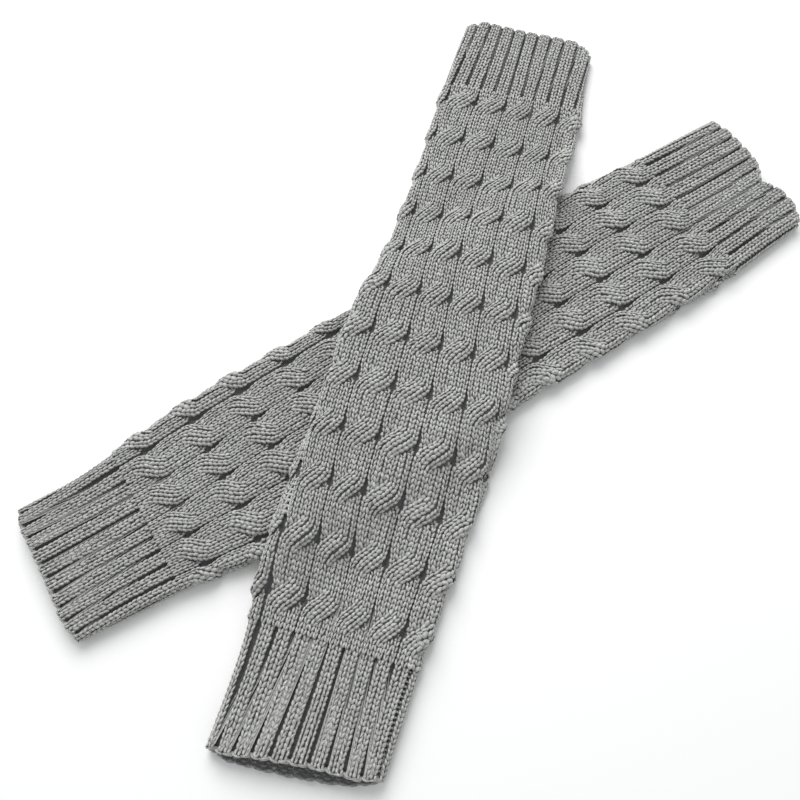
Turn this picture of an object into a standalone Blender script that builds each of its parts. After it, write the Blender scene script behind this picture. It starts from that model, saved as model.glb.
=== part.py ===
"""A pair of cable-knit leg warmers, laid flat and crossed in an X.

Each one is a tube knitted in one run, from hem to hem: a ribbed cuff, a leg of ten cables and a
second ribbed cuff. The lower one lies flat; the upper one is draped over it. Metres, +Z up, and
+Y runs along the upper warmer.

A place on a warmer is given by `along`, from its near hem, by `across`, to the left of its
middle line, and by `column`, which counts the cables round the tube from a valley near the
middle of its face.
"""

import math
from collections import namedtuple

import bpy
import numpy as np

MM = 0.001

# The garment, in millimetres
LENGTH = 400.0
CUFF_LENGTH = 50.0
COLUMNS = 10
CROSSINGS = 12
FIRST_CROSSING = 61.5
CROSSING_STEP = 25.4
SEAM_GAP = 0.3

# The wall, measured outwards from its plain inside
GROUND = 1.3
CABLE_HEIGHT = 2.4
OVERLAP_HEIGHT = 1.1
RIB_HEIGHT = 1.9
UNDERSIDE = 3.2
MIDDLE = 2.0
HEM_EDGE = 0.6
HEM_ROUND = 1.6

# How the tube lies. The side turns plain below SIDE_LOW and its corners start at HEM_CORNER.
HOLLOW = 1.0
LOFT = 1.0
DRAPE_GAP = 0.5
DRAPE_FLAT = 37.0
DRAPE_RUN = 34.0
SIDE_LOW = -0.9
SIDE_RUN = 0.7
GAPE_RUN = 65.0
HEM_CORNER = 0.66
CROSSING_TURN = 41.13

# The point where the middle lines cross, from the middle of the pair's box
CENTRE_X = -0.72
CENTRE_Y = -12.74

# One cable: the left strand of three wales goes over the right one. Lengths are parts of a step,
# counted from the crossing, and widths are parts of half a column.
CROSS_BELOW = 0.34
CROSS_ABOVE = 0.30
STRAND_HALF = 0.52
STRAND_ROUND = 2.7
OVERLAP_SPREAD = 0.24
OVERLAP_RUN = 0.20
INNER_DROP = 0.12
EDGE_LEAVES = 0.22
EDGE_LEFT = 0.16
EDGE_COMES = 0.42
EDGE_CAME = 0.12
SINK = 0.7
SINK_RUN = 0.16
CABLE_REACH = 0.44
CABLE_FADE = 0.12
RIB_ROUND = 2.6

Line = namedtuple("Line", "valley middle")
Row = namedtuple("Row", "along left right")
Hem = namedtuple("Hem", "slant corner notch_at notch_depth notch_half lip gape")
Warmer = namedtuple("Warmer", "name middle turn over rows near_hem far_hem valley_near valley_far")

UPPER = Warmer(
    name="upper",
    middle=187.5,
    turn=0.0,
    over=True,
    rows=(
        Row(0, 37.3, 36.0),
        Row(30, 37.3, 36.7),
        Row(60, 38.9, 37.8),
        Row(95, 40.0, 40.9),
        Row(145, 41.4, 42.9),
        Row(190, 41.6, 41.6),
        Row(240, 38.0, 40.6),
        Row(290, 37.3, 38.4),
        Row(340, 39.8, 38.2),
        Row(375, 39.2, 35.4),
        Row(400, 37.6, 34.0),
    ),
    near_hem=Hem(0.07, 1.5, 0.0, 0.0, 10.0, 5.0, 1.9),
    far_hem=Hem(0.09, 5.0, 0.0, 0.0, 10.0, 0.0, 1.0),
    valley_near=-12.3,
    valley_far=4.3,
)
LOWER = Warmer(
    name="lower",
    middle=197.7,
    turn=CROSSING_TURN,
    over=False,
    rows=(
        Row(0, 36.6, 33.4),
        Row(30, 36.0, 37.6),
        Row(60, 39.7, 39.8),
        Row(88, 42.2, 43.6),
        Row(150, 43.8, 42.4),
        Row(235, 42.9, 42.4),
        Row(300, 42.8, 42.6),
        Row(350, 40.2, 41.2),
        Row(400, 38.6, 37.6),
    ),
    near_hem=Hem(0.0, 1.5, 0.0, 0.0, 10.0, 1.5, 1.0),
    far_hem=Hem(0.05, 3.0, -8.5, 6.0, 6.5, 0.0, 1.5),
    valley_near=-1.4,
    valley_far=7.5,
)

# Parts of one column at which the mesh has points: a cable's, a rib pair's and the plain underside's
CABLE_SAMPLES = (0.0, 0.13, 0.38, 0.62, 0.87)
RIB_SAMPLES = (0.0, 0.13, 0.37, 0.5, 0.63, 0.87)
PLAIN_SAMPLES = (0.0, 0.5)
PLAIN_COLUMNS = (4, 5)
INSIDE_ROWS = 11

# Mesh rows of one crossing, as parts of a step: they follow the two creases beside the strand on top
CROSSING_LINES = (
    Line(-0.50, -0.50),
    Line(-0.18, -0.38),
    Line(0.00, -0.26),
    Line(0.08, -0.10),
    Line(0.11, 0.22),
    Line(0.22, 0.36),
)
ROW_CLEAR = 1.0

WOOL_GREY = (0.30, 0.31, 0.30, 1.0)
WOOL_ROUGHNESS = 0.85


def smooth(value):
    value = np.clip(value, 0.0, 1.0)
    return value * value * (3.0 - 2.0 * value)


def bell(value, width):
    return np.exp(-((value / width) ** 2))


def through(rows, field, along):
    """A width at `along`, on a smooth curve through the rows of a warmer's table."""
    places = np.array([row.along for row in rows], float)
    values = np.array([getattr(row, field) for row in rows], float)
    slopes = np.gradient(values, places)
    index = np.clip(np.searchsorted(places, along) - 1, 0, len(places) - 2)
    span = places[index + 1] - places[index]
    part = np.clip((along - places[index]) / span, 0.0, 1.0)
    rise = values[index] * (1 + 2 * part) * (1 - part) ** 2
    rise += values[index + 1] * part**2 * (3 - 2 * part)
    rise += slopes[index] * span * part * (1 - part) ** 2
    return rise - slopes[index + 1] * span * part**2 * (1 - part)


def rib_relief(side):
    """Two ribs to a column: side runs from -1 at one valley to 1 at the next."""
    return RIB_HEIGHT * np.sqrt(1.0 - np.abs(2.0 * np.abs(side) - 1.0) ** RIB_ROUND)


def strand_height(side, centre, spread, height, drop_left, drop_right):
    """The dome of one strand, which falls off by `drop` towards each of its edges."""
    place = (side - centre) / spread
    fall = 1.0 - np.sqrt(np.clip(1.0 - np.abs(place) ** STRAND_ROUND, 0.0, 1.0))
    drop = np.where(place < 0.0, drop_left, drop_right)
    return np.where(np.abs(place) <= 1.0, height * (1.0 - drop * fall), 0.0)


def cable_relief(side, phase):
    """One cable: the strand on the left crosses over the one on the right at phase 0."""
    swing = smooth((phase + CROSS_BELOW) / (CROSS_BELOW + CROSS_ABOVE))
    lap = bell(phase, OVERLAP_RUN)
    spread = STRAND_HALF + OVERLAP_SPREAD * lap
    top_left = 1.0 - (1.0 - INNER_DROP) * smooth((phase - EDGE_LEAVES) / EDGE_LEFT)
    top_right = INNER_DROP + (1.0 - INNER_DROP) * smooth((phase + EDGE_COMES) / EDGE_CAME)
    top = strand_height(
        side, swing - 0.5, spread, CABLE_HEIGHT + OVERLAP_HEIGHT * lap, top_left, top_right
    )
    under_left = np.where(swing < 0.5, INNER_DROP, 1.0)
    under_right = np.where(swing < 0.5, 1.0, INNER_DROP)
    under_height = CABLE_HEIGHT * (1.0 - SINK * bell(phase, SINK_RUN))
    under = strand_height(
        side, 0.5 - swing, STRAND_HALF, under_height, under_left, under_right
    )
    return np.maximum(top, under)


def relief(column, along):
    """How far the outer face stands over the purl ground in the valleys."""
    side = 2.0 * (column - np.floor(column)) - 1.0
    step = (along - FIRST_CROSSING) / CROSSING_STEP
    phase = step - np.clip(np.round(step), 0, CROSSINGS - 1)
    cables = smooth((phase + CABLE_REACH) / CABLE_FADE) * smooth((CABLE_REACH - phase) / CABLE_FADE)
    between = (step > 0.0) & (step < CROSSINGS - 1)
    cables = np.where(between, 1.0, cables)
    return cables * cable_relief(side, phase) + (1.0 - cables) * rib_relief(side)


def section(warmer, column, along):
    """The middle of the wall: across, height and outward direction, then half width and middle."""
    left = through(warmer.rows, "left", along)
    right = through(warmer.rows, "right", along)
    half_height = HOLLOW / 2 + MIDDLE
    edge = GROUND + CABLE_HEIGHT - MIDDLE
    half_width = (left + right) / 2 - edge
    middle = (left - right) / 2
    flat = half_width - half_height
    bend = math.pi * half_height
    pitch = (4 * flat + 2 * bend) / COLUMNS
    twist = smooth((along - CUFF_LENGTH) / (LENGTH - 2 * CUFF_LENGTH))
    valley = warmer.valley_near + (warmer.valley_far - warmer.valley_near) * twist
    way = middle - valley + column * pitch
    half_way = 2 * flat + bend
    way = (way + half_way) % (2 * half_way) - half_way
    side = np.where(way < 0.0, 1.0, -1.0)
    reach = np.abs(way)
    angle = np.clip((reach - flat) / half_height, 0.0, math.pi)
    out = np.where(reach > flat + bend, 2 * flat + bend - reach, np.minimum(reach, flat))
    across = middle + side * (out + half_height * np.sin(angle))
    height = UNDERSIDE + HOLLOW / 2 + half_height * np.cos(angle)
    return across, height, side * np.sin(angle), np.cos(angle), (left + right) / 2, middle


def hem_shift(hem, across, upward, half):
    """How far a hem lies outside its nominal line."""
    part = np.clip(np.abs(across) / half, 0.0, 1.0)
    shift = hem.slant * across - hem.corner * smooth((part - HEM_CORNER) / (1.0 - HEM_CORNER))
    shift = shift - hem.notch_depth * bell(across - hem.notch_at, hem.notch_half)
    return shift - hem.lip * smooth(upward) * (1.0 - part**2)


def wall_points(warmer, column, along, thickness):
    """Points at `thickness` outside the plain inside of the wall, in the warmer's own frame."""
    across, height, out_across, out_up, half, middle = section(warmer, column, along)
    top = smooth((out_up - SIDE_LOW) / SIDE_RUN)
    outer = np.where(thickness > 0.0, top * thickness + (1.0 - top) * UNDERSIDE, 0.0)
    across = across + out_across * (outer - MIDDLE)
    height = height + out_up * (outer - MIDDLE)
    crown = 1.0 - np.clip((across - middle) / half, -1.0, 1.0) ** 2
    near = np.clip(1.0 - along / GAPE_RUN, 0.0, 1.0) ** 2
    far = np.clip(1.0 - (LENGTH - along) / GAPE_RUN, 0.0, 1.0) ** 2
    loft = LOFT + warmer.near_hem.gape * near + warmer.far_hem.gape * far
    height = height + loft * crown * smooth(out_up * 1.5)
    near = np.clip(1.0 - along / CUFF_LENGTH, 0.0, 1.0)
    far = np.clip(1.0 - (LENGTH - along) / CUFF_LENGTH, 0.0, 1.0)
    shift = far * hem_shift(warmer.far_hem, across - middle, out_up, half)
    shift = shift - near * hem_shift(warmer.near_hem, across - middle, out_up, half)
    return across, along + shift, np.maximum(height, 0.0)


def drape(across, along):
    """The rise of the upper warmer where it passes over the lower one."""
    turn = math.radians(CROSSING_TURN)
    from_line = (along - UPPER.middle) * math.sin(turn) + across * math.cos(turn)
    pile = UNDERSIDE + HOLLOW + GROUND + CABLE_HEIGHT + OVERLAP_HEIGHT + LOFT + DRAPE_GAP
    return pile * smooth(1.0 - (np.abs(from_line) - DRAPE_FLAT) / DRAPE_RUN)


def placed(warmer, across, along, height):
    """From a warmer's own frame to the pair's, in metres."""
    if warmer.over:
        height = height + drape(across, along)
    turn = math.radians(warmer.turn)
    forward = along - warmer.middle
    x = forward * math.sin(turn) - across * math.cos(turn) + CENTRE_X
    y = forward * math.cos(turn) + across * math.sin(turn) + CENTRE_Y
    return np.stack([x, y, height], axis=-1) * MM


def round_the_tube(samples):
    """The places round the tube at which the mesh has points, in columns."""
    return np.array(
        [
            column + part
            for column in range(COLUMNS)
            for part in (PLAIN_SAMPLES if column in PLAIN_COLUMNS else samples)
        ]
    )


def outer_rows(columns, start, end):
    """Where the outer face has points along the warmer: one row for each mesh row of the piece."""
    if start < CUFF_LENGTH:
        places = (start, start + HEM_ROUND, (start + end) / 2, end)
        return np.array([np.full_like(columns, place) for place in places])
    if end > LENGTH - CUFF_LENGTH:
        places = (start, (start + end) / 2, end - HEM_ROUND, end)
        return np.array([np.full_like(columns, place) for place in places])
    inward = 1.0 - np.abs(2.0 * (columns % 1.0) - 1.0)
    rows = [np.full_like(columns, start)]
    for crossing in range(CROSSINGS):
        for line in CROSSING_LINES:
            phase = line.valley + (line.middle - line.valley) * inward
            row = FIRST_CROSSING + (crossing + phase) * CROSSING_STEP
            if row.min() > start + ROW_CLEAR and row.max() < end - ROW_CLEAR:
                rows.append(row)
    rows.append(np.full_like(columns, end))
    return np.array(rows)


def knit_piece(warmer, name, start, end, samples):
    """One zone of a warmer: a ribbed or cabled outer face over a plain inside, open at both ends."""
    columns = round_the_tube(samples)
    count = len(columns)
    along = outer_rows(columns, start, end)
    row_count = len(along)
    column = np.tile(columns, (row_count, 1))
    thickness = GROUND + relief(column, along)
    at_hem = (along <= 0.0) | (along >= LENGTH)
    thickness = np.where(at_hem, HEM_EDGE * thickness, thickness)
    outside = placed(warmer, *wall_points(warmer, column, along, thickness))

    inside_count = INSIDE_ROWS if samples is CABLE_SAMPLES else 3
    column, along = np.meshgrid(columns, np.linspace(start, end, inside_count))
    inside = placed(warmer, *wall_points(warmer, column, along, np.zeros_like(along)))

    points = np.concatenate([outside.reshape(-1, 3), inside.reshape(-1, 3)])
    faces = []
    base = row_count * count
    for first, length, outward in ((0, row_count, True), (base, inside_count, False)):
        for row in range(length - 1):
            for step in range(count):
                here = first + row * count + step
                beside = first + row * count + (step + 1) % count
                quad = (here, beside, beside + count, here + count)
                faces.append(quad if outward else quad[::-1])
    ends = ((0, base, False), ((row_count - 1) * count, base + (inside_count - 1) * count, True))
    for outer, inner, far in ends:
        for step in range(count):
            beside = (step + 1) % count
            quad = (outer + step, outer + beside, inner + beside, inner + step)
            faces.append(quad if far else quad[::-1])

    mesh = bpy.data.meshes.new(name)
    mesh.from_pydata(points.tolist(), [], faces)
    mesh.validate()
    mesh.shade_smooth()
    mesh.materials.append(wool(name))
    piece = bpy.data.objects.new(name, mesh)
    bpy.context.scene.collection.objects.link(piece)
    return piece


def wool(name):
    material = bpy.data.materials.new(name + "_knit")
    material.use_nodes = True
    shader = material.node_tree.nodes["Principled BSDF"]
    shader.inputs["Base Color"].default_value = WOOL_GREY
    shader.inputs["Roughness"].default_value = WOOL_ROUGHNESS
    shader.inputs["Metallic"].default_value = 0.0
    return material


def build():
    for thing in list(bpy.data.objects):
        bpy.data.objects.remove(thing)
    half_gap = SEAM_GAP / 2
    far_cuff = LENGTH - CUFF_LENGTH
    for warmer in (UPPER, LOWER):
        empty = bpy.data.objects.new(warmer.name + "_warmer", None)
        bpy.context.scene.collection.objects.link(empty)
        zones = (
            ("near_cuff", 0.0, CUFF_LENGTH - half_gap, RIB_SAMPLES),
            ("cable_leg", CUFF_LENGTH + half_gap, far_cuff - half_gap, CABLE_SAMPLES),
            ("far_cuff", far_cuff + half_gap, LENGTH, RIB_SAMPLES),
        )
        for zone, start, end, samples in zones:
            piece = knit_piece(warmer, f"{warmer.name}_{zone}", start, end, samples)
            piece.parent = empty


build()
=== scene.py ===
"""A pair of grey cable-knit leg warmers, laid flat on a white surface and crossed in an X."""

import math

import bpy
import numpy as np
from mathutils import Matrix


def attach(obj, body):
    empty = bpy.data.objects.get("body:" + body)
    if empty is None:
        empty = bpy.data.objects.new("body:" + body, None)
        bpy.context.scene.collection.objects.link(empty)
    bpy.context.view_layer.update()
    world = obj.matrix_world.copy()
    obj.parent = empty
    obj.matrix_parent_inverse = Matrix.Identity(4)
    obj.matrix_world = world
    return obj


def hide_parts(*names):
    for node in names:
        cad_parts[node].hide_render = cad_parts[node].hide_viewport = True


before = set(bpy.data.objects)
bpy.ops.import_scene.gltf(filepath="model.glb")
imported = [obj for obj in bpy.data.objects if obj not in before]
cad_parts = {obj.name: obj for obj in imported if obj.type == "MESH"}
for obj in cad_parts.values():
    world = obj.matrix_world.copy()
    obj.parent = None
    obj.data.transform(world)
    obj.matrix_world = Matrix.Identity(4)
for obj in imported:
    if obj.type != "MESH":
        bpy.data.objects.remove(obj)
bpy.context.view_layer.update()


# ---- Where the pair is seen from ----------------------------------------------------------
# A hand-held view from just above the near hem, looking down and a little to the left. The
# warmers cross a few millimetres from the middle of the pair's box.

MM = 0.001
CROSSING_X = -0.72
CROSSING_Y = -12.74
EYE_FROM_CROSSING = (0.05516, -0.17151, 0.37479)
VIEW_TURN = 22.7534
VIEW_TIP = 23.3909
VIEW_LEAN = -5.8937

lens = bpy.data.cameras.new("view")
lens.sensor_width = 36.0
lens.lens = 38.7
lens.clip_start = 0.01
camera = bpy.data.objects.new("view", lens)
bpy.context.scene.collection.objects.link(camera)
eye_x, eye_y, eye_z = EYE_FROM_CROSSING
eye = (eye_x + CROSSING_X * MM, eye_y + CROSSING_Y * MM, eye_z)
turn_round = Matrix.Rotation(math.radians(VIEW_TURN), 4, "Z")
tip_back = Matrix.Rotation(math.radians(VIEW_TIP), 4, "X")
lean = Matrix.Rotation(math.radians(VIEW_LEAN), 4, "Z")
camera.matrix_world = Matrix.Translation(eye) @ turn_round @ tip_back @ lean
bpy.context.scene.camera = camera


# ---- The surface and the light ------------------------------------------------------------
# A plain white board under the pair. A broad soft light stands beyond the far hems, and a pale
# room fills the rest, so that the shadows are short and soft and lie all round the pair.

BOARD_WHITE = (0.90, 0.90, 0.89, 1.0)
ROOM_WHITE = (0.97, 0.98, 1.0, 1.0)
ROOM_STRENGTH = 0.62
WINDOW_POWER = 13.6
WINDOW_PLACE = (-0.45, 0.62, 0.80)
WINDOW_TIP = (-34.0, -29.3)

bpy.ops.mesh.primitive_plane_add(size=4.0)
surface = bpy.context.object
surface.name = "white_surface"
board = bpy.data.materials.new("white_board")
board.use_nodes = True
board_shader = board.node_tree.nodes["Principled BSDF"]
board_shader.inputs["Base Color"].default_value = BOARD_WHITE
board_shader.inputs["Roughness"].default_value = 0.7
board_shader.inputs["Specular IOR Level"].default_value = 0.2
surface.data.materials.append(board)

room = bpy.data.worlds.new("pale_room")
room.use_nodes = True
room.node_tree.nodes["Background"].inputs["Color"].default_value = ROOM_WHITE
room.node_tree.nodes["Background"].inputs["Strength"].default_value = ROOM_STRENGTH
bpy.context.scene.world = room

window = bpy.data.lights.new("window", "AREA")
window.shape = "RECTANGLE"
window.size = 1.0
window.size_y = 0.8
window.energy = WINDOW_POWER
window_stand = bpy.data.objects.new("window", window)
window_stand.location = WINDOW_PLACE
window_stand.rotation_euler = (math.radians(WINDOW_TIP[0]), math.radians(WINDOW_TIP[1]), 0.0)
bpy.context.scene.collection.objects.link(window_stand)
bpy.context.scene.view_settings.view_transform = "Standard"


# ---- The lower warmer's knitted wall ------------------------------------------------------
# Acrylic and wool yarn, knitted in the round in one run: a ribbed cuff, a leg of ten cables
# side by side and a second ribbed cuff. The tube is open at both ends and lies flat on the
# board. Its far hem has fallen into two lobes with a notch between them.

# Lengths in millimetres. The knitting is ten columns round, each a cable and a purl valley.
LENGTH = 400.0
CUFF_LENGTH = 50.0
COLUMNS = 10
HALF_COLUMN = 8.1
CROSSING_TURN = 41.13


def on_the_board(across, along):
    """The lower warmer lies straight on the board."""
    return 0.0


# How it lies: the crossing's place along it, its turn, what lifts it, half widths to the left
# and right of its middle line at places along it, its two hems, where across its face the first
# valley lies at the near and the far cuff, the column and place of a dent, the valley that is
# opened as a groove, and the seed of its unevenness.
lower = {
    "name": "lower",
    "middle": 197.7,
    "turn": CROSSING_TURN,
    "lifted": on_the_board,
    "along": (0, 30, 60, 88, 150, 235, 300, 350, 400),
    "left": (36.6, 36.0, 39.7, 42.2, 43.8, 42.9, 42.8, 40.2, 38.6),
    "right": (32.4, 35.2, 37.4, 42.6, 42.4, 42.4, 42.6, 41.2, 37.6),
    "near_hem": {
        "out": 1.6, "slant": 0.0, "corner": 2.5, "notch": 0.0,
        "lip": 1.5, "under": 0.0, "gape": 1.0,
    },
    "far_hem": {
        "out": 0.0, "slant": 0.05, "corner": 3.0, "notch": 6.0,
        "lip": 0.0, "under": 0.0, "gape": 1.5,
    },
    "valley": (-1.4, 7.5),
    "dent": (1.5, 120.0),
    "groove": 8,
    "seed": 23,
}


def smooth(value):
    """A soft step from 0 to 1."""
    value = np.clip(value, 0.0, 1.0)
    return value * value * (3.0 - 2.0 * value)


def bell(value, width):
    """A soft hump, 1 high, that has died away at twice its width."""
    return np.exp(-((value / width) ** 2))


def through(places, values, along):
    """A smooth curve through a row of widths."""
    places = np.array(places, float)
    values = np.array(values, float)
    slopes = np.gradient(values, places)
    index = np.clip(np.searchsorted(places, along) - 1, 0, len(places) - 2)
    span = places[index + 1] - places[index]
    part = np.clip((along - places[index]) / span, 0.0, 1.0)
    rise = values[index] * (1 + 2 * part) * (1 - part) ** 2
    rise += values[index + 1] * part**2 * (3 - 2 * part)
    rise += slopes[index] * span * part * (1 - part) ** 2
    return rise - slopes[index + 1] * span * part**2 * (1 - part)


# The relief in millimetres over the purl ground: round ribs in the cuffs, cables in the leg
RIB_HEIGHT = 2.1
RIB_ROUND = 3.2
CABLE_HEIGHT = 2.4
OVERLAP_HEIGHT = 1.6
PILLOW_HEIGHT = 0.45

# One cable: lengths in parts of a step from the crossing, widths in parts of half a column
CROSSINGS = 12
FIRST_CROSSING = 61.5
CROSSING_STEP = 25.4
WALES_IN_HALF = 2.95
STRAND_EDGE = 1.53
STRAND_ROUND = 2.2
OVER_RUN = 0.55
BELOW_RUN = 0.45
WALE_LEAD = 0.078
OVERLAP_RUN = 0.25
PILLOW_WIDTH = 0.07
PILLOW_RUN = 0.17
INNER_DROP = 0.14
EDGE_OPENS = -0.38
EDGE_CLOSES = 0.22
EDGE_RUN = 0.16
PINCH = 0.11
PINCH_PLACE = 0.14
PINCH_RUN = 0.11
SINK = 0.45
SINK_RUN = 0.20
TUCK = 0.45
TUCK_RUN = 0.25
TUCK_REACH = 0.13
CABLE_REACH = 0.54
CABLE_FADE = 0.22


def rib_relief(side):
    """The height of two round ribs side by side, with a purl valley on each side of both."""
    return RIB_HEIGHT * np.sqrt(1.0 - np.abs(2.0 * np.abs(side) - 1.0) ** RIB_ROUND)


def strand_height(side, left, right, height, drop_left, drop_right):
    """The dome of one strand of three wales, between its two edges."""
    place = (side - (left + right) / 2) / ((right - left) / 2)
    fall = 1.0 - np.sqrt(np.clip(1.0 - np.abs(place) ** STRAND_ROUND, 0.0, 1.0))
    drop = np.where(place < 0.0, drop_left, drop_right)
    return np.where(np.abs(place) <= 1.0, height * (1.0 - drop * fall), 0.0)


def pillow(phase):
    """1 half way between two crossings, where a cable is plumpest, and 0 at the crossings."""
    return bell(np.abs(phase) - 0.5, PILLOW_RUN)


def strand_path(phase, wale, run):
    """The side of one wale of a strand that crosses to the right, and how fast it moves."""
    part = np.clip((phase + wale * WALE_LEAD) / run + 0.5, 0.0, 1.0)
    spread = wale / WALES_IN_HALF * (1.0 + PILLOW_WIDTH * pillow(phase))
    return smooth(part) - 0.5 + spread, 6.0 * part * (1.0 - part) / run


def over_strand(side, phase):
    """The height of the strand that goes over: its edges stand free while it crosses."""
    left = strand_path(phase, -STRAND_EDGE, OVER_RUN)[0]
    right = strand_path(phase, STRAND_EDGE, OVER_RUN)[0]
    drop_left = 1.0 - (1.0 - INNER_DROP) * smooth((phase - EDGE_CLOSES) / EDGE_RUN)
    drop_right = INNER_DROP + (1.0 - INNER_DROP) * smooth((phase - EDGE_OPENS) / EDGE_RUN)
    height = CABLE_HEIGHT + OVERLAP_HEIGHT * bell(phase, OVERLAP_RUN)
    height = height + PILLOW_HEIGHT * pillow(phase)
    return strand_height(side, left, right, height, drop_left, drop_right)


def pinch(phase):
    """How far the strand below is still drawn in after it has come out on the left."""
    return PINCH * bell(phase - PINCH_PLACE, PINCH_RUN)


def strand_below(side, phase):
    """The height of the strand that sinks, and tucks in under the one that goes over."""
    left = -strand_path(phase, STRAND_EDGE, BELOW_RUN)[0] + pinch(phase)
    right = -strand_path(phase, -STRAND_EDGE, BELOW_RUN)[0]
    drop_left = np.where(phase < 0.0, INNER_DROP, 1.0)
    drop_right = np.where(phase < 0.0, 1.0, INNER_DROP)
    height = CABLE_HEIGHT * (1.0 - SINK * bell(phase, SINK_RUN)) + PILLOW_HEIGHT * pillow(phase)
    beyond = side - strand_path(phase, STRAND_EDGE, OVER_RUN)[0]
    beyond = np.maximum(beyond, strand_path(phase, -STRAND_EDGE, OVER_RUN)[0] - side)
    beyond = bell(np.maximum(beyond, 0.0), TUCK_REACH)
    height = height * (1.0 - TUCK * bell(phase, TUCK_RUN) * beyond)
    return strand_height(side, left, right, height, drop_left, drop_right)


def relief(column, along):
    """How far the outer face stands over the purl ground in the valleys."""
    side = 2.0 * (column - np.floor(column)) - 1.0
    step = (along - FIRST_CROSSING) / CROSSING_STEP
    phase = step - np.clip(np.round(step), 0, CROSSINGS - 1)
    cables = smooth((phase + CABLE_REACH) / CABLE_FADE)
    cables = cables * smooth((CABLE_REACH - phase) / CABLE_FADE)
    cables = np.where((step > 0.0) & (step < CROSSINGS - 1), 1.0, cables)
    crossed = np.maximum(over_strand(side, phase), strand_below(side, phase))
    return cables * crossed + (1.0 - cables) * rib_relief(side)


# The wall across, in millimetres outwards from its plain inside: the purl ground, the line that
# the wall is bent along, the flat underside, and the hollow between the two layers
GROUND = 1.3
MIDDLE = 2.0
OUTSIDE = 1.2
UNDERSIDE = 3.2
HOLLOW = 1.0


def section(warmer, column, along):
    """The middle of the wall: across, height and outward direction, then half width and middle.

    The columns are counted round the flat tube from the middle of its face. They turn down at
    both sides, and the rest of the way is spread evenly over the underside."""
    left = through(warmer["along"], warmer["left"], along)
    right = through(warmer["along"], warmer["right"], along)
    half_height = HOLLOW / 2 + MIDDLE
    half_width = (left + right) / 2 - (GROUND + CABLE_HEIGHT - MIDDLE)
    middle = (left - right) / 2
    flat = half_width - half_height
    bend = math.pi * half_height
    pitch = (4 * flat + 2 * bend) / COLUMNS
    twist = smooth((along - CUFF_LENGTH) / (LENGTH - 2 * CUFF_LENGTH))
    valley = warmer["valley"][0] + (warmer["valley"][1] - warmer["valley"][0]) * twist
    half_way = 2 * flat + bend
    way = (middle - valley + column * pitch + half_way) % (2 * half_way) - half_way
    side = np.where(way < 0.0, 1.0, -1.0)
    reach = np.abs(way)
    angle = np.clip((reach - flat) / (half_height + OUTSIDE), 0.0, math.pi)
    turned = flat + math.pi * (half_height + OUTSIDE)
    behind = flat * (half_way - reach) / (half_way - turned)
    out = np.where(reach > turned, behind, np.minimum(reach, flat))
    across = middle + side * (out + half_height * np.sin(angle))
    height = UNDERSIDE + HOLLOW / 2 + half_height * np.cos(angle)
    return across, height, side * np.sin(angle), np.cos(angle), (left + right) / 2, middle


# The hems: where their corners begin to round, and the notch in the lower warmer's far one
CORNER_FROM = 0.66
CORNER_RUN = 0.34
NOTCH_PLACE = -8.5
NOTCH_WIDTH = 6.5


def hem_shift(hem, across, upward, half):
    """How far a hem lies outside its straight line: slanted, round at the corners, notched
    where it has fallen in, drawn back on the face and further out on the underside."""
    part = np.clip(np.abs(across) / half, 0.0, 1.0)
    shift = hem["out"] + hem["slant"] * across
    shift = shift - hem["corner"] * smooth((part - CORNER_FROM) / CORNER_RUN)
    shift = shift - hem["notch"] * bell(across - NOTCH_PLACE, NOTCH_WIDTH)
    shift = shift + hem["under"] * smooth(-upward) * (1.0 - part**2)
    return shift - hem["lip"] * smooth(upward) * (1.0 - part**2)


# Soft knitting laid down by hand: dents in millimetres, wandering in parts of a column
SLOW_SAG = 0.22
QUICK_SAG = 0.14
DENT_DEPTH = 1.1
DENT_COLUMNS = 0.4
DENT_LENGTH = 6.0
SLOW_DRIFT = 0.05
QUICK_DRIFT = 0.008
GROOVE_OPEN = 0.02
GROOVE_EDGE = 0.02
GROOVE_COLUMNS = 0.3
GROOVE_END = 210.0
GROOVE_FADE = 40.0


def wave(column, along, waves, stretch, start):
    """A slanting wave: so many round the tube, and so many millimetres along to a radian."""
    around = 2 * math.pi * column / COLUMNS
    return np.sin(waves * around + along / stretch + start)


def sag(warmer, column, along):
    """The small unevenness of soft knitting, and one dent where it was pressed."""
    slow = wave(column, along, waves=3, stretch=31.0, start=warmer["seed"])
    quick = wave(column, along, waves=7, stretch=-13.0, start=2 * warmer["seed"])
    aside, ahead = warmer["dent"]
    pressed = bell(column - aside, DENT_COLUMNS) * bell(along - ahead, DENT_LENGTH)
    return SLOW_SAG * slow + QUICK_SAG * quick - DENT_DEPTH * pressed


def drift(warmer, column, along):
    """How far a column wanders to the side, and parts at the groove along the left edge."""
    slow = wave(column, along, waves=2, stretch=27.0, start=3 * warmer["seed"])
    quick = wave(column, along, waves=7, stretch=-15.0, start=warmer["seed"])
    apart = (column - warmer["groove"] + COLUMNS / 2) % COLUMNS - COLUMNS / 2
    opened = np.tanh(apart / GROOVE_EDGE) * bell(apart, GROOVE_COLUMNS)
    opened = opened * smooth((GROOVE_END - along) / GROOVE_FADE)
    return SLOW_DRIFT * slow + QUICK_DRIFT * quick + GROOVE_OPEN * opened


# Where the face's relief fades into the underside, how far the face is puffed up in its middle
# and at the hems, and how deep the hems are scalloped between the ribs
UNDER_FROM = -0.9
UNDER_RUN = 0.7
LOFT = 1.0
LOFT_EDGE = 1.5
GAPE_RUN = 65.0
SCALLOP = 1.8


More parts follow.
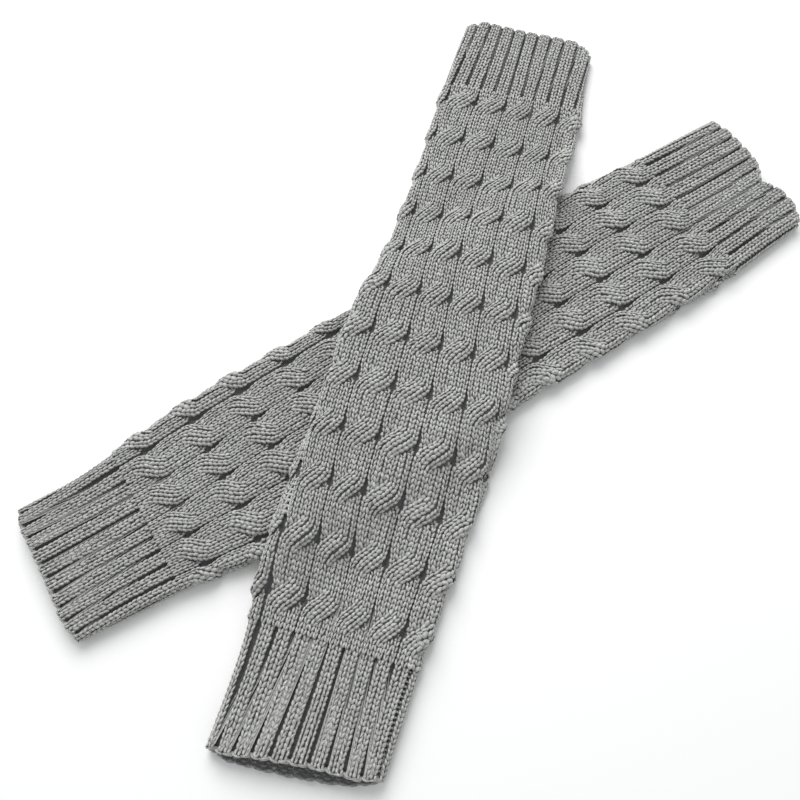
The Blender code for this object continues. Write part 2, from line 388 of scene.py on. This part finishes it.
def on_wall(warmer, column, along, lift, form=None, inside=False):
    """A point `lift` outside the knitted face, or outside the plain inside, in metres."""
    wandered = column + drift(warmer, column, along)
    across, height, out_across, out_up, half, middle = section(warmer, wandered, along)
    top = smooth((out_up - UNDER_FROM) / UNDER_RUN)
    form = relief(column, along) if form is None else form
    raised = GROUND + form + sag(warmer, column, along)
    outer = 0.0 if inside else top * raised + (1.0 - top) * UNDERSIDE
    across = across + out_across * (outer + lift - MIDDLE)
    height = height + out_up * (outer + lift - MIDDLE)

    near_hem, far_hem = warmer["near_hem"], warmer["far_hem"]
    crown = 1.0 - np.clip((across - middle) / half, -1.0, 1.0) ** 2
    near = np.clip(1.0 - along / GAPE_RUN, 0.0, 1.0) ** 2
    far = np.clip(1.0 - (LENGTH - along) / GAPE_RUN, 0.0, 1.0) ** 2
    loft = LOFT + near_hem["gape"] * near + far_hem["gape"] * far
    height = height + loft * crown * smooth(out_up * LOFT_EDGE)

    near = np.clip(1.0 - along / CUFF_LENGTH, 0.0, 1.0)
    far = np.clip(1.0 - (LENGTH - along) / CUFF_LENGTH, 0.0, 1.0)
    scallop = SCALLOP * (rib_relief(2.0 * (column - np.floor(column)) - 1.0) / RIB_HEIGHT - 1.0)
    along = along + far * (scallop + hem_shift(far_hem, across - middle, out_up, half))
    along = along - near * (scallop + hem_shift(near_hem, across - middle, out_up, half))
    height = np.maximum(height, 0.0) + warmer["lifted"](across, along)

    turn = math.radians(warmer["turn"])
    forward = along - warmer["middle"]
    x = forward * math.sin(turn) - across * math.cos(turn) + CROSSING_X
    y = forward * math.cos(turn) + across * math.sin(turn) + CROSSING_Y
    return np.stack([x, y, height], axis=-1) * MM


def mesh_piece(name, points, quads, triangles, material):
    """One joined mesh, shaded smooth."""
    mesh = bpy.data.meshes.new(name)
    corners = np.concatenate([quads.reshape(-1), triangles.reshape(-1)]).astype(np.int32)
    sizes = np.concatenate([np.full(len(quads), 4), np.full(len(triangles), 3)])
    starts = np.concatenate([[0], np.cumsum(sizes)[:-1]]).astype(np.int32)
    mesh.vertices.add(len(points))
    mesh.vertices.foreach_set("co", points.astype(np.float32).reshape(-1))
    mesh.loops.add(len(corners))
    mesh.loops.foreach_set("vertex_index", corners)
    mesh.polygons.add(len(sizes))
    mesh.polygons.foreach_set("loop_start", starts)
    mesh.polygons.foreach_set("use_smooth", np.ones(len(sizes), bool))
    mesh.update(calc_edges=True)
    mesh.validate()
    mesh.materials.append(material)
    piece = bpy.data.objects.new(name, mesh)
    bpy.context.scene.collection.objects.link(piece)
    return piece


def yarn_material(name, dark, light, fleck_size, fuzz_strength):
    """Heather yarn: pale and dark fibres mixed, a little fuzz, and a soft sheen. Given darker
    tones, it also serves as painted shade.
    """
    material = bpy.data.materials.new(name)
    material.use_nodes = True
    nodes = material.node_tree.nodes
    wires = material.node_tree.links
    shader = nodes["Principled BSDF"]
    shader.inputs["Roughness"].default_value = 0.82
    shader.inputs["Specular IOR Level"].default_value = 0.25
    shader.inputs["Sheen Weight"].default_value = 0.35
    shader.inputs["Sheen Roughness"].default_value = 0.5
    place = nodes.new("ShaderNodeTexCoord")
    flecks = nodes.new("ShaderNodeTexNoise")
    flecks.inputs["Scale"].default_value = 1.0 / fleck_size
    flecks.inputs["Detail"].default_value = 3.0
    flecks.inputs["Roughness"].default_value = 0.7
    wires.new(place.outputs["Object"], flecks.inputs["Vector"])
    tone = nodes.new("ShaderNodeValToRGB")
    tone.color_ramp.elements[0].position = 0.34
    tone.color_ramp.elements[0].color = dark
    tone.color_ramp.elements[1].position = 0.66
    tone.color_ramp.elements[1].color = light
    wires.new(flecks.outputs["Fac"], tone.inputs["Fac"])
    clouds = nodes.new("ShaderNodeTexNoise")
    clouds.inputs["Scale"].default_value = 28.0
    clouds.inputs["Detail"].default_value = 2.0
    wires.new(place.outputs["Object"], clouds.inputs["Vector"])
    patch = nodes.new("ShaderNodeMapRange")
    patch.inputs["To Min"].default_value = 0.86
    patch.inputs["To Max"].default_value = 1.12
    wires.new(clouds.outputs["Fac"], patch.inputs["Value"])
    shade = nodes.new("ShaderNodeVectorMath")
    shade.operation = "SCALE"
    wires.new(tone.outputs["Color"], shade.inputs[0])
    wires.new(patch.outputs["Result"], shade.inputs["Scale"])
    wires.new(shade.outputs["Vector"], shader.inputs["Base Color"])
    fuzz = nodes.new("ShaderNodeTexNoise")
    fuzz.inputs["Scale"].default_value = 3200.0
    fuzz.inputs["Detail"].default_value = 2.0
    wires.new(place.outputs["Object"], fuzz.inputs["Vector"])
    raise_fuzz = nodes.new("ShaderNodeBump")
    raise_fuzz.inputs["Strength"].default_value = fuzz_strength
    raise_fuzz.inputs["Distance"].default_value = 0.0003
    wires.new(fuzz.outputs["Fac"], raise_fuzz.inputs["Height"])
    wires.new(raise_fuzz.outputs["Normal"], shader.inputs["Normal"])
    return material


# Painted shade: the wall seen between and behind the stitches, in the valleys, in the holes and
# inside the tube, is the same grey yarn as the stitches. Its colour is painted near black to stand
# for the shade that falls deep between the stitches.
wall_painted_shade_yarn = yarn_material(
    "yarn_painted_shade_wall",
    dark=(0.05, 0.051, 0.05, 1),
    light=(0.13, 0.132, 0.128, 1),
    fleck_size=0.0007,
    fuzz_strength=0.5,
)

# The wall behind the stitches: how far it keeps inside the hems and below the knitted face, its
# points in a column, the step between its rows outside, and how many rows it has inside
HEM_INSET = 0.5
WALL_BELOW_STITCHES = 0.75
POINTS_IN_COLUMN = 12
WALL_ROW = 2.4
INSIDE_ROWS = 60


def knitted_wall(warmer):
    """The closed wall behind the stitches: outer face, plain inside and both hem edges."""
    count = COLUMNS * POINTS_IN_COLUMN
    columns = np.arange(count) / POINTS_IN_COLUMN
    outside_rows = round(LENGTH / WALL_ROW)
    courses = np.linspace(HEM_INSET, LENGTH - HEM_INSET, outside_rows)
    outside = on_wall(warmer, *np.meshgrid(columns, courses), -WALL_BELOW_STITCHES)
    courses = np.linspace(HEM_INSET, LENGTH - HEM_INSET, INSIDE_ROWS)
    inside = on_wall(warmer, *np.meshgrid(columns, courses), 0.0, inside=True)
    points = np.concatenate([outside.reshape(-1, 3), inside.reshape(-1, 3)])

    def band(first, second):
        here = first + np.arange(count)
        there = second + np.arange(count)
        return np.stack([here, np.roll(here, -1), np.roll(there, -1), there], axis=-1)

    base = outside_rows * count
    quads = [band(row * count, (row + 1) * count) for row in range(outside_rows - 1)]
    quads += [band(base + (row + 1) * count, base + row * count) for row in range(INSIDE_ROWS - 1)]
    quads.append(band(base, 0))
    quads.append(band((outside_rows - 1) * count, base + (INSIDE_ROWS - 1) * count))

    name = warmer["name"]
    no_triangles = np.zeros((0, 3), int)
    wall = mesh_piece(
        name + "_knitted_wall", points, np.concatenate(quads), no_triangles, wall_painted_shade_yarn
    )
    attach(wall, "root")
    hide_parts(name + "_near_cuff", name + "_cable_leg", name + "_far_cuff")
    return wall


lower_wall = knitted_wall(lower)


# ---- The stitches of the cabled leg -------------------------------------------------------
# Heather grey yarn. Every knit stitch shows as a V of two plump legs. Three wales of them make
# a strand, and in each cable one strand crosses over the other every twelve courses.

# One leg of a stitch: lengths in courses, height in millimetres. Each leg starts below its
# course and ends above it, so that the next one grows out of it.
LEG_SIDES = 3
FACE_RINGS = 3
LEG_TAPER = 0.55
LEG_LENGTH = 1.42
LEG_START = 0.67
LEG_HEIGHT = 0.80
FACE_DOWN_TO = -0.6
ABOVE_BOARD = 0.03

# The V of a stitch: widths in parts of its wale. Its legs fall away to the sides, so that the
# wale is round, and no two legs are quite alike.
LEG_APART = 0.20
LEG_WIDE = 0.25
V_FOOT = 0.13
V_SPREAD = 0.245
V_CURVE = 0.8
LEG_FALL = 2.1
UNEVEN_GIRTH = 0.10
UNEVEN_PLACE = 0.035

# A wale follows the wall where it is drawn in or stretched, between these shares of its width
NARROWEST = 0.8
WIDEST = 1.7

# Small steps, in columns, millimetres and half columns, that find how the wall runs at a stitch
PROBE_COLUMN = 0.03
PROBE_ALONG = 0.3
PROBE_SIDE = 0.06

# The stitches of a cable, which reach a little way into the cuffs. A stitch is left out where
# the strand above covers it by more than HIDDEN_BELOW millimetres.
COURSES_IN_STEP = 12
LEG_OVERLAP = 1.0
HIDDEN_BELOW = 1.7
STEEPEST = 1.4
WALE_WIDE = 0.355
WALE_WIDE_CROSSING = 1.4
WALE_WIDE_TILTED = 0.3
V_CLOSED_CROSSING = 0.07
ROLL = 0.06
ROLL_RUN = 0.22

stitch_yarn = yarn_material(
    "heather_yarn",
    dark=(0.31, 0.315, 0.300, 1),
    light=(0.585, 0.592, 0.560, 1),
    fleck_size=0.0016,
    fuzz_strength=0.5,
)


def leg_shape(rings):
    """One leg of a stitch, its ridge on top: ring, side and height of each point, and faces."""
    girth = np.sin(math.pi * np.linspace(0.0, 1.0, rings + 2)) ** LEG_TAPER
    ring_of, wide, high = [0], [0.0], [0.0]
    for ring in range(1, rings + 1):
        for angle in 2 * math.pi * (np.arange(LEG_SIDES) / LEG_SIDES + 0.25):
            ring_of.append(ring)
            wide.append(math.cos(angle) * girth[ring])
            high.append(math.sin(angle) * girth[ring])
    tip = len(ring_of)
    ring_of.append(rings + 1)
    wide.append(0.0)
    high.append(0.0)
    sides = [(1 + side, 1 + (side + 1) % LEG_SIDES) for side in range(LEG_SIDES)]
    last_ring = (rings - 1) * LEG_SIDES
    quads = [
        (ring + here, ring + there, ring + LEG_SIDES + there, ring + LEG_SIDES + here)
        for ring in range(0, last_ring, LEG_SIDES)
        for here, there in sides
    ]
    triangles = [(0, there, here) for here, there in sides]
    triangles += [(tip, last_ring + here, last_ring + there) for here, there in sides]
    return np.array(ring_of), np.array(wide), np.array(high), np.array(quads), np.array(triangles)


def lay_legs(
    warmer, name, spots, rings, leans=(-1.0, 1.0), height=LEG_HEIGHT, inside=False, yarn=stitch_yarn
):
    """Legs of yarn along the given lines on the wall: two that part in a V, or one straight."""
    ring_of, wide, high, quads, triangles = leg_shape(rings)
    column, along, form = spots["column"], spots["along"], spots["form"]
    centre = on_wall(warmer, column, along, 0.0, form, inside)
    onward = np.gradient(centre, axis=0)
    onward = onward / np.linalg.norm(onward, axis=-1, keepdims=True)
    beside = on_wall(warmer, column + PROBE_COLUMN, along, 0.0, form, inside)
    beside = beside - on_wall(warmer, column - PROBE_COLUMN, along, 0.0, form, inside)
    across = on_wall(warmer, column, along + PROBE_ALONG, 0.0, form, inside)
    across = across - on_wall(warmer, column, along - PROBE_ALONG, 0.0, form, inside)
    outward = np.cross(beside, across)
    outward = outward / np.linalg.norm(outward, axis=-1, keepdims=True)
    spread = np.linalg.norm(beside, axis=-1) / (4 * PROBE_COLUMN * HALF_COLUMN * MM)
    beside = np.cross(onward, outward) + outward * spots["tilt"][..., None]
    beside = beside / np.linalg.norm(beside, axis=-1, keepdims=True)
    outward = np.cross(beside, onward)
    random = np.random.default_rng(warmer["seed"] + column.shape[1])
    wale = (spots["wale"] * np.clip(spread, NARROWEST, WIDEST))[ring_of]
    part = np.linspace(0.0, 1.0, rings + 2)[:, None]
    points = []
    for lean in leans:
        vary = 1.0 + UNEVEN_GIRTH * random.standard_normal(column.shape[1])
        shift = UNEVEN_PLACE * random.standard_normal(column.shape[1])
        opened = LEG_APART + spots["open"] * (V_SPREAD * part**V_CURVE - V_FOOT)
        beside_wale = lean * opened + shift
        sideways = wale * (beside_wale[ring_of] + LEG_WIDE * wide[:, None] * vary)
        thick = height * vary
        upward = 0.5 * thick * (high[:, None] + np.sin(math.pi * part[ring_of]) - 1.0)
        upward = upward - LEG_FALL * beside_wale[ring_of] ** 2
        upward = -upward if inside else upward
        points.append(
            centre[ring_of]
            + MM * sideways[..., None] * beside[ring_of]
            + MM * upward[..., None] * outward[ring_of]
        )
    points = np.concatenate(points, axis=1).transpose(1, 0, 2)
    first = np.arange(len(points))[:, None, None] * len(ring_of)
    points = points.reshape(-1, 3)
    points[:, 2] = np.maximum(points[:, 2], ABOVE_BOARD * MM)
    quads = (quads + first).reshape(-1, 4)
    triangles = (triangles + first).reshape(-1, 3)
    return mesh_piece(name, points, quads, triangles, yarn)


def over_place(phase, wale):
    """Side, height and pace of the wales of the strand that goes over, as a plump roll."""
    side, pace = strand_path(phase, wale * (1.0 + ROLL * bell(phase, ROLL_RUN)), OVER_RUN)
    return side, over_strand(side, phase), pace


def below_place(phase, wale):
    """The same for the strand that passes below, from right to left."""
    side, pace = strand_path(phase, -wale, BELOW_RUN)
    side = pinch(phase) * (1.0 - wale) / 2 - side
    return side, strand_below(side, phase), pace


def course_phase(course, run):
    """The phase of a course: stitches are spread evenly along the strand as it crosses."""
    phase = np.linspace(-0.5, 0.5, 101)
    pace = strand_path(phase, 0.0, run)[1]
    way = np.cumsum(np.sqrt(1.0 + (pace * HALF_COLUMN / CROSSING_STEP) ** 2))
    way = (way - way[0]) / (way[-1] - way[0])
    whole = np.floor(course / COURSES_IN_STEP)
    return whole + np.interp(course / COURSES_IN_STEP - whole, way, phase)


def strand_stitches(place, run, form, rings, hidden_by=None):
    """Where the stitches of one kind of strand lie: three wales, twelve courses to a step."""
    crossing, course, wale, cable = [
        grid.ravel()
        for grid in np.meshgrid(
            np.arange(CROSSINGS), np.arange(COURSES_IN_STEP), (-1, 0, 1), np.arange(COLUMNS)
        )
    ]
    phase = course_phase(course + 0.5, run)
    side, height, pace = place(phase, wale)
    along = FIRST_CROSSING + (crossing + phase) * CROSSING_STEP
    shown = along > CUFF_LENGTH - LEG_OVERLAP
    shown = shown & (along < LENGTH - CUFF_LENGTH + LEG_OVERLAP)
    if hidden_by is not None:
        shown = shown & (hidden_by(side, phase) < height + HIDDEN_BELOW)
    crossing, course, wale, cable = crossing[shown], course[shown], wale[shown], cable[shown]
    part = np.linspace(0.0, 1.0, rings + 2)[:, None]
    phase = course_phase(course + 0.5 + LEG_LENGTH * part - LEG_START, run)
    side, height, pace = place(phase, wale)
    tilt = form(side + PROBE_SIDE, phase) - form(side - PROBE_SIDE, phase)
    tilt = np.clip(tilt / (2 * PROBE_SIDE * HALF_COLUMN), -STEEPEST, STEEPEST)
    slant = np.sqrt(1.0 + (pace * HALF_COLUMN / CROSSING_STEP) ** 2)
    wide = WALE_WIDE * (1.0 + PILLOW_WIDTH * pillow(phase))
    wide = wide + WALE_WIDE_CROSSING * pace * WALE_LEAD
    return {
        "column": cable + (side + 1.0) / 2,
        "along": FIRST_CROSSING + (crossing + phase) * CROSSING_STEP,
        "form": height,
        "tilt": tilt,
        "wale": HALF_COLUMN * wide / slant * np.sqrt(1.0 + WALE_WIDE_TILTED * tilt**2),
        "open": 1.0 / (1.0 + V_CLOSED_CROSSING * pace**2),
    }


def together(*several):
    """Several groups of stitches as one."""
    return {key: np.concatenate([spots[key] for spots in several], axis=1) for key in several[0]}


def faces_up(warmer, spots, ring=1):
    """How far the wall faces up where each stitch lies: 1 on the face, -1 on the underside."""
    return section(warmer, spots["column"][ring], spots["along"][ring])[3]


def stitch_layer(
    warmer, zone, spots_for, slot, layer="face", rings=FACE_RINGS, height=LEG_HEIGHT
):
    """The stitches of the leg or the cuffs that lie on the face, or else on the underside."""
    spots = spots_for(rings)
    on_face = faces_up(warmer, spots) > FACE_DOWN_TO
    shown = on_face if layer == "face" else ~on_face
    spots = {key: value[:, shown] for key, value in spots.items()}
    name = f"{warmer['name']}_{zone}_stitches_{layer}"
    piece = lay_legs(warmer, name, spots, rings, height=height)
    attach(piece, "root")
    return piece


def cable_stitches(rings):
    """Both strands of every cable, without the stitches that a crossing hides."""
    over = strand_stitches(over_place, OVER_RUN, over_strand, rings)
    below = strand_stitches(below_place, BELOW_RUN, strand_below, rings, over_strand)
    return together(over, below)


lower_stitches = [stitch_layer(lower, "leg", cable_stitches, "grey_cable_knit")]


# ---- The stitches of the ribbed cuffs -----------------------------------------------------
# The same yarn, knitted on from the leg as a springy rib: two knit wales and a purl valley,
# two such ribs to a cable, 21 courses deep.

# The height of a course and the width of a wale in millimetres. Each wale stands beside the
# middle of its rib, by a part of half a column.
RIB_COURSE = 2.34
RIB_COURSES = 21
RIB_WALE_PLACE = 0.213
RIB_WALE_WIDE = 3.65


def rib_stitches(rings):
    """Where the stitches of the cuffs lie: two wales to each rib, two ribs to a column."""
    course, start, cable, rib, wale = [
        grid.ravel()
        for grid in np.meshgrid(
            np.arange(RIB_COURSES),
            (0.0, LENGTH - RIB_COURSES * RIB_COURSE),
            np.arange(COLUMNS),
            (-0.5, 0.5),
            (-RIB_WALE_PLACE, RIB_WALE_PLACE),
        )
    ]
    part = np.linspace(0.0, 1.0, rings + 2)[:, None]
    along = start + (course + 0.5 + LEG_LENGTH * part - LEG_START) * RIB_COURSE
    along = np.clip(along, HEM_INSET, LENGTH - HEM_INSET)
    side = rib + wale + 0.0 * part
    column = cable + (side + 1.0) / 2
    tilt = rib_relief(side + PROBE_COLUMN) - rib_relief(side - PROBE_COLUMN)
    return {
        "column": column,
        "along": along,
        "form": relief(column, along),
        "tilt": np.clip(tilt / (2 * PROBE_COLUMN * HALF_COLUMN), -STEEPEST, STEEPEST),
        "wale": np.full(column.shape, RIB_WALE_WIDE),
        "open": np.ones(column.shape),
    }


lower_stitches.append(stitch_layer(lower, "cuff", rib_stitches, "grey_rib_knit"))


# ---- The stitches of the underside --------------------------------------------------------
# The leg and the cuffs go on round the tube: the same yarn and the same stitches, turned down
# and hidden from above. There they are pressed flat between the tube and the board.

UNDERSIDE_RINGS = 2
UNDERSIDE_HEIGHT = 0.48


def underside_stitches(warmer):
    """The stitches of leg and cuffs on the underside, lower and with fewer points."""
    pressed = {"layer": "underside", "rings": UNDERSIDE_RINGS, "height": UNDERSIDE_HEIGHT}
    return [
        stitch_layer(warmer, "leg", cable_stitches, "grey_cable_knit", **pressed),
        stitch_layer(warmer, "cuff", rib_stitches, "grey_rib_knit", **pressed),
    ]


lower_stitches += underside_stitches(lower)


# ---- The purl bumps in the valleys --------------------------------------------------------
# Between cables and between ribs the back of the knitting shows: short loops of the same yarn
# lie across the valley, one to a course. They are seen where the tube's sides turn down.

# A course of the leg in millimetres, and the part of each step where a crossing hides the bumps
VALLEY_COURSE = 2.54
CROSSED_PLACE = 0.08
CROSSED_REACH = 0.17
BUMP_RINGS = 4
SIDES_BELOW = 0.93


def loops(column, along, height, reach, thick, rings=BUMP_RINGS):
    """Loops that lie across the wales: `height` in parts of the relief, `reach` in columns."""
    column, along = [grid.ravel() for grid in np.meshgrid(column, along)]
    part = np.linspace(-0.5, 0.5, rings + 2)[:, None]
    column = column + reach * part
    along = along + 0.0 * part
    return {
        "column": column,
        "along": along,
        "form": height * relief(column, along),
        "tilt": np.zeros(column.shape),
        "wale": np.full(column.shape, thick),
        "open": np.ones(column.shape),
    }


def at_both_ends(courses):
    """The same courses counted from the near hem and from the far one."""
    return np.concatenate([courses, LENGTH - courses])


def valley_bumps(warmer):
    """Purl bumps along the tube's sides, left out where a strand crosses the valley's end."""
    leg = np.arange(CUFF_LENGTH + VALLEY_COURSE / 2, LENGTH - CUFF_LENGTH, VALLEY_COURSE)
    phase = (leg - FIRST_CROSSING) / CROSSING_STEP
    leg = leg[np.abs(phase - np.round(phase) - CROSSED_PLACE) > CROSSED_REACH]
    cuffs = at_both_ends(np.arange(RIB_COURSE / 2, CUFF_LENGTH, RIB_COURSE))
    bumps = together(
        loops(np.arange(COLUMNS), leg, height=1.0, reach=0.30, thick=2.9),
        loops(np.arange(0, COLUMNS, 0.5), cuffs, height=0.5, reach=0.22, thick=2.9),
    )
    on_sides = faces_up(warmer, bumps, 2) < SIDES_BELOW
    bumps = {key: value[:, on_sides] for key, value in bumps.items()}
    piece = lay_legs(warmer, warmer["name"] + "_valley_purl_bumps", bumps, BUMP_RINGS, (0.0,))
    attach(piece, "root")
    return piece


lower_stitches.append(valley_bumps(lower))


# ---- The chain of loops at the hems -------------------------------------------------------
# The edge where the yarn was cast on, or cast off: a row of small loops linked side by side,
# which wraps the wall's edge from its face to its inside.

# Millimetres first. The slant of the chain and the width of a wale are in parts of a column.
CHAIN_INSET = 0.4
CHAIN_HEIGHT = 1.2
CHAIN_SLANT = 0.06
WALE = 0.25
WALES = np.arange(WALE / 2, COLUMNS, WALE)


def hem_chain(warmer):
    """Three rows of loops, one above the other, round each hem."""
    hems = (CHAIN_INSET, LENGTH - CHAIN_INSET)
    chain = together(
        loops(WALES, hems, height=0.9, reach=0.31, thick=3.0),
        loops(WALES + CHAIN_SLANT, hems, height=0.45, reach=0.31, thick=3.4),
        loops(WALES, hems, height=0.0, reach=0.31, thick=3.4),
    )
    name = warmer["name"] + "_hem_chain"
    piece = lay_legs(warmer, name, chain, BUMP_RINGS, (0.0,), CHAIN_HEIGHT)
    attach(piece, "root")
    return piece


lower_stitches.append(hem_chain(lower))


# ---- The purl bumps inside the mouths -----------------------------------------------------
# The inside of each mouth shows the back of the rib: rows of short loops, set like bricks. The
# yarn is the same, but its colour here is painted darker, as painted shade where little light falls
# in between the two layers.

MOUTH_DEPTH = 22.0
MOUTH_FIRST = 0.8
MOUTH_HEIGHT = 0.7
MOUTH_RINGS = 2
MOUTH_LOOP = {"height": 0.0, "reach": 0.26, "thick": 3.6, "rings": MOUTH_RINGS}

# Painted shade: the mouth loops' yarn is coloured darker than the heather yarn of the face
# stitches.
mouth_yarn = yarn_material(
    "yarn_in_shade",
    dark=(0.10, 0.102, 0.098, 1),
    light=(0.30, 0.304, 0.29, 1),
    fleck_size=0.0012,
    fuzz_strength=0.6,
)


def mouth_bumps(warmer):
    """Two sets of loops, the second half a wale and half a course on from the first."""
    courses = at_both_ends(np.arange(MOUTH_FIRST, MOUTH_DEPTH, RIB_COURSE))
    bumps = together(
        loops(WALES, courses, **MOUTH_LOOP),
        loops(WALES + WALE / 2, courses + RIB_COURSE / 2, **MOUTH_LOOP),
    )
    name = warmer["name"] + "_mouth_purl_bumps"
    piece = lay_legs(
        warmer, name, bumps, MOUTH_RINGS, (0.0,), MOUTH_HEIGHT, inside=True, yarn=mouth_yarn
    )
    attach(piece, "root")
    return piece


lower_stitches.append(mouth_bumps(lower))


# ---- The upper warmer ---------------------------------------------------------------------
# The other one of the pair: the same yarn and the same knitting. It was laid down second, so
# it rests on the board at both ends and is draped over the lower one where they cross.

DRAPE_GAP = 0.3
DRAPE_FLAT = 37.0
DRAPE_RUN = 34.0


def over_the_lower(across, along):
    """How high the upper warmer is lifted by the lower one beneath it."""
    turn = math.radians(CROSSING_TURN)
    from_line = (along - upper["middle"]) * math.sin(turn) + across * math.cos(turn)
    pile = UNDERSIDE + HOLLOW + GROUND + CABLE_HEIGHT + OVERLAP_HEIGHT + LOFT + DRAPE_GAP
    return pile * smooth(1.0 - (np.abs(from_line) - DRAPE_FLAT) / DRAPE_RUN)


upper = {
    "name": "upper",
    "middle": 187.5,
    "turn": 0.0,
    "lifted": over_the_lower,
    "along": (0, 30, 60, 95, 145, 190, 240, 290, 340, 375, 400),
    "left": (37.3, 37.3, 38.9, 40.0, 41.4, 41.6, 38.0, 37.3, 39.8, 40.4, 40.2),
    "right": (36.0, 36.7, 37.8, 40.9, 42.9, 41.6, 40.6, 38.4, 38.2, 35.4, 34.0),
    "near_hem": {
        "out": 2.2, "slant": 0.13, "corner": 2.5, "notch": 0.0,
        "lip": 2.8, "under": 2.0, "gape": 1.7,
    },
    "far_hem": {
        "out": 0.0, "slant": 0.025, "corner": 5.5, "notch": 0.0,
        "lip": 2.0, "under": 0.0, "gape": 1.0,
    },
    "valley": (-12.3, 4.3),
    "dent": (9.45, 79.0),
    "groove": 7,
    "seed": 11,
}

upper_wall = knitted_wall(upper)
upper_stitches = [
    stitch_layer(upper, "leg", cable_stitches, "grey_cable_knit"),
    stitch_layer(upper, "cuff", rib_stitches, "grey_rib_knit"),
    *underside_stitches(upper),
    valley_bumps(upper),
    hem_chain(upper),
    mouth_bumps(upper),
]
